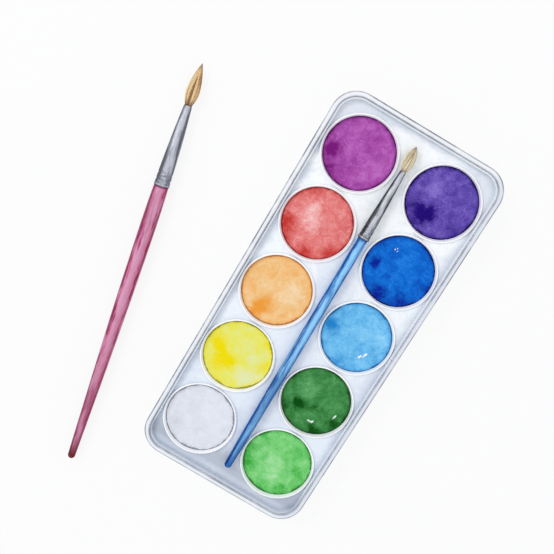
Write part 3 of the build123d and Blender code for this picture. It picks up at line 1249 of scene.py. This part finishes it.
@dataclass
class RoundBrush:
    """A round brush. Its places come from its nodes' own corners.

    Attributes:
        name: The brush's name, as its body has it.
        yaw: Its turn about Z, in degrees, as the frame's pieces lie.
        hair_radius: The hair's greatest radius, in metres.
        mouth_radius: The ferrule's outer radius at its mouth, in metres.
        belly: The share of the hair's length where it is widest.
        taper: How long the hair stays full past its belly: 1 is a straight cone.
        lean: How far the tip leans to the right, in metres.
        lock_turn: The direction of its palest lock, in radians from the right.
        lacquer: The handle's finish.
        metal: The ferrule's finish.
        fibre: The hair's finish.
        strands: How many strands the head has.
        stops: How many rings of points a strand has.
        sides: How many sides a strand has.
        sunk: How far the hair starts inside the ferrule's mouth, in metres.
        gather: The share of the outline's taper past the belly that the strands leave out.
        wall: How much narrower the hair is at its root than the ferrule's mouth, in metres.
        trim: The share of the CAD hair's length that the strands may reach.
        packing: The share of the bundle's radius at which the outermost strand lies.
        locks: How many pale locks lie around the head.
        core_length: The share of the hair's length that the core reaches.
        core_radius: The share of the outline's radius that the core has.
        hair: The head of hair, once it is built.
    """

    name: str
    yaw: float
    hair_radius: float
    mouth_radius: float
    belly: float
    taper: float
    lean: float
    lock_turn: float
    lacquer: HandleLacquer
    metal: DrawnFerrule
    fibre: GoldenHair
    strands: int = 900
    stops: int = 11
    sides: int = 4
    sunk: float = 0.3 * MM
    gather: float = 0.16
    wall: float = 0.35 * MM
    trim: float = 0.995
    packing: float = 0.96
    locks: int = 9
    core_length: float = 0.93
    core_radius: float = 0.86
    hair: bpy.types.Object | None = field(default=None, repr=False)

    def __post_init__(self) -> None:
        """Find the axis from the nodes' points."""
        self.turn = math.radians(self.yaw)
        self.along = Vector((-math.sin(self.turn), math.cos(self.turn), 0))
        self.right = Vector((math.cos(self.turn), math.sin(self.turn), 0))
        self.tail = self.reach("handle", self.along)[0]
        self.base, self.mouth = self.reach("ferrule", self.along)
        self.tip = self.reach("hair", self.along)[1]
        low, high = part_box(f"{self.name}_ferrule")
        self.level = (low.z + high.z) / 2
        self.offset = sum(self.reach("handle", self.right)) / 2

    def reach(self, piece: str, direction: Vector) -> Span:
        """Find how far a node reaches either way along a direction.

        Args:
            piece: The node's name, without the brush's.
            direction: The direction.

        Returns:
            Its lowest and its highest station.
        """
        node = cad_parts[f"{self.name}_{piece}"]
        stations = [direction.dot(corner.co) for corner in node.data.vertices]
        return min(stations), max(stations)

    def point(self, station: float, across: float = 0.0, up: float = 0.0) -> Vector:
        """Find a point in the row's frame from a station and offsets from the axis."""
        return self.along * station + self.right * (self.offset + across) + Vector((0, 0, self.level + up))

    def outline(self, share: float) -> float:
        """Measure the hair's radius.

        Args:
            share: The share of its length past the mouth.

        Returns:
            The radius, in metres.
        """
        root = self.mouth_radius - self.wall
        if share < self.belly:
            return root + (self.hair_radius - root) * math.sin(math.pi / 2 * share / self.belly)
        past = (share - self.belly) / (1 - self.belly)
        return self.hair_radius * max(1 - past**self.taper, 0)

    def gathered(self, share: float) -> float:
        """Measure the radius that the strands' bundle keeps, which draws in less than the outline."""
        radius = self.outline(share)
        return radius if share < self.belly else radius + self.gather * (self.hair_radius - radius)

    def strand_end(self, out: float) -> float:
        """Find where a strand meets the outline.

        Args:
            out: The strand's share of the bundle's radius.

        Returns:
            The share of the hair's length.
        """
        low, high = self.belly, 1.0
        for _ in range(24):
            middle = (low + high) / 2
            if out * self.gathered(middle) < self.outline(middle):
                low = middle
            else:
                high = middle
        return low

    def lock(self, turn: float, share: float) -> float:
        """Tell how light the hair's locks are.

        Args:
            turn: The direction from the axis.
            share: The share of the hair's length.

        Returns:
            The shade, from 0 to 1, which painted shade makes lower at the hair's sides.
        """
        spot = Vector((math.cos(turn) * 3.3, math.sin(turn) * 3.3, share + self.hair_radius / MM))
        wave = math.cos(self.locks * (turn - self.lock_turn + 0.25 * share))
        light = 0.5 + 0.34 * wave + 1.5 * noise.noise(spot)
        # Painted shade: the hair darkens towards its sides.
        return min(max(light, 0), 1) * abs(math.sin(turn)) ** 0.9

    def ring(self, station: float, across: float, up: float, radius: float, start: float, around: int
             ) -> list[Vector]:
        """Set a ring of points across the axis.

        Args:
            station: Its place along the axis.
            across: How far to the right of the axis its middle is.
            up: How far above the axis its middle is.
            radius: Its radius.
            start: The direction of its first point.
            around: How many points it has.

        Returns:
            The points.
        """
        turns = [start + 2 * math.pi * step / around for step in range(around)]
        return [self.point(station, across + radius * math.cos(turn), up + radius * math.sin(turn))
                for turn in turns]

    def build(self) -> None:
        """Build the head of hair: many tapered strands over a smooth core."""
        chance = random.Random(self.name)
        mesh = HairMesh()
        length = (self.tip - self.mouth) * self.trim
        for count in range(self.strands):
            self.add_strand(mesh, count, chance, length)
        self.add_core(mesh, length)
        self.hair = make_mesh(f"{self.name}_hair_strands", mesh.points, mesh.faces)
        attribute = self.hair.data.attributes.new("strand_shade", "FLOAT", "POINT")
        attribute.data.foreach_set("value", mesh.shades)
        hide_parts(f"{self.name}_hair")
        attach(self.hair, self.name)

    def add_strand(self, mesh: HairMesh, count: int, chance: random.Random, length: float) -> None:
        """Add a strand, which thins over its last three rings.

        Args:
            mesh: The hair's mesh so far.
            count: How many strands came before it.
            chance: The hair's own random numbers.
            length: The hair's length.
        """
        out = math.sqrt((count + 0.5) / self.strands) * self.packing
        turn = count * GOLDEN_TURN
        end = self.strand_end(out) * chance.uniform(0.965, 1.0)
        own = 0.24 * chance.random()
        drift = chance.uniform(-0.06, 0.06)
        rings, shades = [], []
        for stop in range(self.stops):
            share = end * stop / (self.stops - 1)
            spread = self.gathered(share) * out
            angle = turn + drift * share
            thick = 0.75 / math.sqrt(self.strands) * self.gathered(share)
            left = self.stops - 1 - stop
            thick *= 1.0 if left > 2 else left / 3 * 0.85 + 0.12
            station = self.mouth - self.sunk + share * (length + self.sunk)
            across = self.lean * share**2 + spread * math.cos(angle)
            rings.append(self.ring(station, across, spread * math.sin(angle), thick, angle, self.sides))
            shades.append(0.8 * self.lock(turn, share) + own)
        mesh.add(rings, shades)

    def add_core(self, mesh: HairMesh, length: float, stops: int = 16, around: int = 20) -> None:
        """Add the smooth core, so that no light shows between the strands.

        Args:
            mesh: The hair's mesh so far.
            length: The hair's length.
            stops: How many rings of points the core has.
            around: How many points a ring has.
        """
        rings = []
        for stop in range(stops):
            share = self.core_length * stop / (stops - 1)
            station = self.mouth - self.sunk + share * length
            radius = self.outline(share) * self.core_radius
            rings.append(self.ring(station, self.lean * share**2, 0, radius, 0, around))
        mesh.add(rings, [0.25] * stops)

    def dress(self) -> None:
        """Finish the handle, the ferrule, the hair and the glue."""
        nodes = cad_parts
        lacquer = self.lacquer.make(self.point(self.tail), self.turn, self.base - self.tail)
        dress(nodes[f"{self.name}_handle"], lacquer)
        dress(nodes[f"{self.name}_ferrule"], self.metal.make(self.point(self.base), self.turn))
        dress(nodes[f"{self.name}_glue"], SetGlue(f"{self.name}_glue").make())
        dress(self.hair, self.fibre.make(self.point(self.mouth), self.turn, self.tip - self.mouth))
        LOG.info("%s built, %.0f mm long", self.name, (self.tip - self.tail) / MM)


@dataclass(frozen=True)
class SoftLamp:
    """A square soft lamp that looks at the middle of the set.

    Attributes:
        name: The lamp's name.
        place: Where it hangs, in metres.
        size: Its side, in metres.
        power: Its power, in watts.
    """

    name: str
    place: Triple
    size: float
    power: float

    def hang(self) -> None:
        """Put the lamp in the scene."""
        data = bpy.data.lights.new(self.name, "AREA")
        data.size = self.size
        data.energy = self.power
        lamp = bpy.data.objects.new(self.name, data)
        lamp.location = self.place
        lamp.rotation_mode = "QUATERNION"
        lamp.rotation_quaternion = (-Vector(self.place)).to_track_quat("-Z", "Y")
        bpy.context.scene.collection.objects.link(lamp)


@dataclass
class Studio:
    """The pale floor, the soft light and the camera.

    Attributes:
        eye: The camera's place, in metres.
        forward: The way that it looks.
        up: Its up direction.
        lens: Its focal length, in millimetres.
        sensor: Its sensor's width, in millimetres.
        floor_half: Half the floor's side, in metres.
        floor_drop: How far the floor lies below the set's underside, in metres.
        floor_glow: How much of the floor's tone is plain white to the camera.
        sky: The strength of the sky's light.
        key: The lamp to the upper left of the picture.
        fill: The weak lamp across from it.
    """

    eye: Vector = field(default_factory=lambda: Vector((-33.73, 71.07, 341.33)) * MM)
    forward: Vector = field(default_factory=lambda: Vector((0.0335, -0.1942, -0.9804)))
    up: Vector = field(default_factory=lambda: Vector((-0.5097, 0.8405, -0.1839)))
    lens: float = 52.84
    sensor: float = 36
    floor_half: float = 4.0
    floor_drop: float = 0.02 * MM
    floor_glow: float = 0.84
    sky: float = 0.88
    key: SoftLamp = SoftLamp("key", (-0.75, 0.28, 0.8), 0.35, 2.6)
    fill: SoftLamp = SoftLamp("fill", (0.8, -0.5, 0.9), 1.0, 0.6)

    def build(self) -> None:
        """Build everything that isn't the object."""
        self.build_floor()
        self.build_world()
        self.key.hang()
        self.fill.hang()
        self.build_camera()
        bpy.context.scene.view_settings.view_transform = "Standard"

    def build_floor(self) -> None:
        """Build a plain pale floor that keeps the shadow and is white to the camera."""
        half = self.floor_half
        corners = [(-half, -half, 0), (half, -half, 0), (half, half, 0), (-half, half, 0)]
        floor = make_mesh("floor", corners, [(0, 1, 2, 3)], smooth=False)
        floor.location.z = -self.floor_drop
        sheet = NodeSheet("floor_paper")
        sheet.surface(Base_Color=FLOOR_GREY, Roughness=0.9, Specular_IOR_Level=0.1)
        glow = sheet.add("Emission")
        sheet.feed(glow.inputs["Color"], WHITE)
        share = sheet.maths("MULTIPLY", sheet.seen(), self.floor_glow)
        sheet.mix_shaders(share, sheet.shader.outputs[0], glow.outputs[0], sheet.output)
        dress(floor, sheet.material)

    def build_world(self) -> None:
        """Build a plain sky that is white to the camera."""
        world = bpy.data.worlds.new("studio")
        world.use_nodes = True
        bpy.context.scene.world = world
        sheet = NodeTree(world.node_tree)
        light = sheet.tree.nodes["Background"]
        sheet.feed(light.inputs["Color"], SKY_TONE)
        sheet.feed(light.inputs["Strength"], self.sky)
        white = sheet.add("Background")
        sheet.feed(white.inputs["Color"], WHITE)
        output = sheet.tree.nodes["World Output"]
        sheet.mix_shaders(sheet.seen(), light.outputs[0], white.outputs[0], output)

    def build_camera(self) -> None:
        """Set the camera at the photograph's viewing angle."""
        data = bpy.data.cameras.new("camera")
        data.lens = self.lens
        data.sensor_width = self.sensor
        camera = bpy.data.objects.new("camera", data)
        back = -self.forward.normalized()
        right = self.up.cross(back).normalized()
        top = back.cross(right)
        turn = Matrix((right, top, back)).transposed().to_4x4()
        camera.matrix_world = Matrix.Translation(self.eye) @ turn
        bpy.context.scene.collection.objects.link(camera)
        bpy.context.scene.camera = camera


def make_pan_plastic() -> bpy.types.Material:
    """Build the plastic that all ten pans share.

    Returns:
        The material.
    """
    return MouldedPlastic(
        name="pan_plastic",
        far=srgb(254, 254, 255),
        near=srgb(252, 253, 255),
        wash=srgb(240, 242, 248),
        shade=srgb(144, 148, 162),
        depth=0.6,
        reach=1.5 * MM,
        alone=False,
    ).make()


def make_blue_brush() -> RoundBrush:
    """Describe the slim brush on the deck.

    Returns:
        The brush.
    """
    return RoundBrush(
        name="blue_brush",
        yaw=0.87,
        hair_radius=2.3 * MM,
        mouth_radius=1.25 * MM,
        belly=0.368,
        taper=2.3,
        lean=-0.5 * MM,
        lock_turn=1.6,
        lacquer=HandleLacquer(
            name="blue_lacquer",
            dark=srgb(4, 66, 142),
            body=srgb(68, 144, 216),
            light=srgb(146, 206, 249),
            tail=srgb(84, 160, 206),
            tail_reach=13 * MM,
            painted_highlights=(Patch(-0.2, 113.4, 3, 2.2), Patch(0.2, 71, 28, 3)),
            pools=(Patch(0.3, 42, 24, 5), Patch(-0.8, 30, 18, 2), Patch(0.7, 12, 16, 1.5)),
        ),
        metal=DrawnFerrule("blue_ferrule", srgb(52, 54, 61), srgb(140, 143, 150), srgb(196, 199, 206)),
        fibre=GoldenHair(
            name="blue_hair",
            root=srgb(200, 168, 138),
            dark=srgb(172, 148, 102),
            body=srgb(250, 236, 196),
            light=srgb(255, 252, 234),
            tip=srgb(150, 140, 114),
        ),
    )


def make_pink_brush() -> RoundBrush:
    """Describe the larger brush beside the case.

    Returns:
        The brush.
    """
    return RoundBrush(
        name="pink_brush",
        yaw=10.4,
        hair_radius=2.85 * MM,
        mouth_radius=1.7 * MM,
        belly=0.335,
        taper=1.6,
        lean=0.1 * MM,
        lock_turn=1.3,
        lacquer=HandleLacquer(
            name="pink_lacquer",
            dark=srgb(136, 26, 72),
            body=srgb(202, 112, 150),
            light=srgb(214, 152, 182),
            tail=srgb(150, 0, 40),
            tail_reach=11.5 * MM,
            painted_highlights=(Patch(-0.4, 20, 12, 2.0), Patch(0.4, 15, 9, 1.4), Patch(0.3, 121, 20, 5)),
            pools=(Patch(0, 24, 30, 4),),
        ),
        metal=DrawnFerrule("pink_ferrule", srgb(90, 92, 102), srgb(154, 157, 168), srgb(192, 195, 205)),
        fibre=GoldenHair(
            name="pink_hair",
            root=srgb(150, 96, 64),
            dark=srgb(158, 106, 56),
            body=srgb(248, 202, 140),
            light=srgb(255, 240, 196),
            tip=srgb(136, 114, 84),
        ),
    )


def main() -> None:
    """Build the set's looks in order."""
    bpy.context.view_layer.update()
    Tray().dress()
    pan_plastic = make_pan_plastic()
    for side, colours in COLUMNS.items():
        for colour in colours:
            well = PaintWell(colour, side)
            well.build()
            well.dress(pan_plastic)
    for brush in (make_blue_brush(), make_pink_brush()):
        brush.build()
        brush.dress()
    Studio().build()


if __name__ == "__main__":
    logging.basicConfig(level=logging.INFO)
    main()
